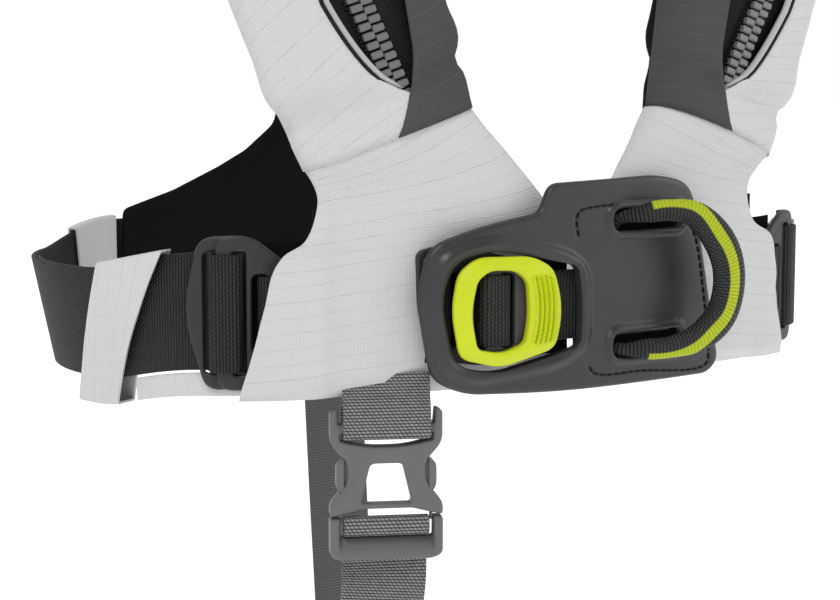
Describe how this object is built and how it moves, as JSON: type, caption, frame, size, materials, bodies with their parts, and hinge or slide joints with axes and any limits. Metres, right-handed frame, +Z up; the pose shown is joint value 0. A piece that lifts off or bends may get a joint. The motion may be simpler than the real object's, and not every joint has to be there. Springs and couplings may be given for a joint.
{
  "type": "inflatable life jacket",
  "caption": "Inflatable life jacket with padded chest lobes, a belt with a front toggle buckle and soft loop, and a crotch strap.",
  "frame": {"origin": "centre of the wearer's waist, level with the middle of the belt", "axes": "+Z up, -Y towards the jacket's front, +X to the wearer's left"},
  "size_m": [0.3178, 0.2561, 0.6675],
  "materials": {
    "white_ripstop": "matt ripstop weave",
    "grey_ripstop": "matt ripstop weave",
    "black_lining": "smooth bonded stretch cloth",
    "reflective_piping": "satin piping",
    "zip_tape": "woven tape",
    "zip_teeth": "moulded, satin",
    "hard_black": "moulded, fine grain",
    "chamber": "coated cloth",
    "steel": "brushed",
    "lime_plastic": "satin gloss",
    "lime_textile": "braided black cord with a lime stripe",
    "red_cap": "moulded",
    "orange": "moulded",
    "clear": "frosted",
    "charcoal_plate": "satin",
    "black_webbing": "ribbed webbing",
    "grey_webbing": "woven webbing",
    "grey_plastic": "moulded, satin"
  },
  "bodies": {
    "jacket": {"cover_outer_right": "white_ripstop", "cover_outer_left": "white_ripstop", "boot_right": "white_ripstop", "boot_left": "white_ripstop", "keeper_band_right": "white_ripstop", "keeper_band_left": "white_ripstop", "keeper_tab_right": "white_ripstop", "keeper_tab_left": "white_ripstop", "side_strip_right": "white_ripstop", "side_strip_left": "white_ripstop", "cover_inner_right": "grey_ripstop", "cover_inner_left": "grey_ripstop", "cover_lining_right": "black_lining", "cover_lining_left": "black_lining", "boot_lining_right": "black_lining", "boot_lining_left": "black_lining", "back_pad": "black_lining", "back_strap": "black_lining", "piping_right": "reflective_piping", "piping_left": "reflective_piping", "zip_tape_outer": "zip_tape", "zip_tape_inner": "zip_tape", "zip_teeth_outer": "zip_teeth", "zip_teeth_inner": "zip_teeth", "inflator_body": "hard_black", "buckle_receiver": "hard_black", "oral_tube": "hard_black", "adjuster_inner_right": "hard_black", "adjuster_inner_left": "hard_black", "bladder": "chamber", "gas_cylinder": "steel", "whistle": "orange", "position_light": "clear", "front_plate": "charcoal_plate", "buckle_webbing_anchor": "black_webbing", "belt_webbing": "black_webbing", "adjuster_webbing_right": "black_webbing", "adjuster_webbing_left": "black_webbing", "crotch_loop": "grey_webbing", "crotch_strap_rear": "grey_webbing", "buckle_female": "grey_plastic", "oral_tube_cap": "red_cap"},
    "buckle_toggle": {"buckle_core": "grey_plastic", "buckle_webbing": "black_webbing"},
    "release_ring": {"release_ring": "lime_plastic"},
    "soft_loop": {"soft_loop": "lime_textile"},
    "adjuster_plate_right": {"adjuster_outer_right": "hard_black"},
    "adjuster_plate_left": {"adjuster_outer_left": "hard_black"},
    "crotch_buckle_male": {"buckle_male": "grey_plastic", "crotch_strap_front": "grey_webbing"},
    "buckle_prong_left": {"prong_left": "grey_plastic"},
    "buckle_prong_right": {"prong_right": "grey_plastic"},
    "zip_slider": {"zip_slider": "hard_black"},
    "inflator_lever": {"inflator_lever": "lime_plastic"}
  },
  "joints": [
    {"name": "buckle_toggle_swing", "type": "hinge", "parent": "jacket", "child": "buckle_toggle", "pos_m": [-0.00595, -0.11526, 0], "axis": [0, 0, 1], "range_deg": [0, 50]},
    {"name": "release_ring_slide", "type": "slide", "parent": "buckle_toggle", "child": "release_ring", "axis": [0.9961, -0.0878, 0], "range_m": [0, 0.0022], "stiffness_N_per_m": 400},
    {"name": "soft_loop_swing", "type": "hinge", "parent": "jacket", "child": "soft_loop", "pos_m": [0.01046, -0.11276, 0], "axis": [0, 0, -1], "range_deg": [-6, 28]},
    {"name": "adjuster_right_tilt", "type": "hinge", "parent": "jacket", "child": "adjuster_plate_right", "pos_m": [-0.11956, -0.07782, 0], "axis": [0, 0, 1], "range_deg": [0, 7]},
    {"name": "adjuster_left_tilt", "type": "hinge", "parent": "jacket", "child": "adjuster_plate_left", "pos_m": [0.11956, -0.07782, 0], "axis": [0, 0, -1], "range_deg": [0, 7]},
    {"name": "crotch_buckle_slide", "type": "slide", "parent": "jacket", "child": "crotch_buckle_male", "axis": [0, 0, -1], "range_m": [0, 0.008]},
    {"name": "prong_left_bend", "type": "hinge", "parent": "crotch_buckle_male", "child": "buckle_prong_left", "pos_m": [-0.05854, -0.10684, -0.0726], "axis": [-0.3746, -0.9272, 0], "range_deg": [0, 9.7]},
    {"name": "prong_right_bend", "type": "hinge", "parent": "crotch_buckle_male", "child": "buckle_prong_right", "pos_m": [-0.08746, -0.09516, -0.0726], "axis": [0.3746, 0.9272, 0], "range_deg": [0, 9.7]},
    {"name": "zip_slider_slide", "type": "slide", "parent": "jacket", "child": "zip_slider", "axis": [0.0723, 0.1483, 0.9863], "range_m": [0, 0.015]},
    {"name": "inflator_lever_swing", "type": "hinge", "parent": "jacket", "child": "inflator_lever", "pos_m": [0.09517, -0.09475, 0.1318], "axis": [0.9874, 0.1024, -0.1209], "range_deg": [0, 40]}
  ],
  "couplings": [
    {"joint": "prong_left_bend", "follows": "crotch_buckle_slide", "rad_per_m": 20.944},
    {"joint": "prong_right_bend", "follows": "crotch_buckle_slide", "rad_per_m": 20.944}
  ]
}
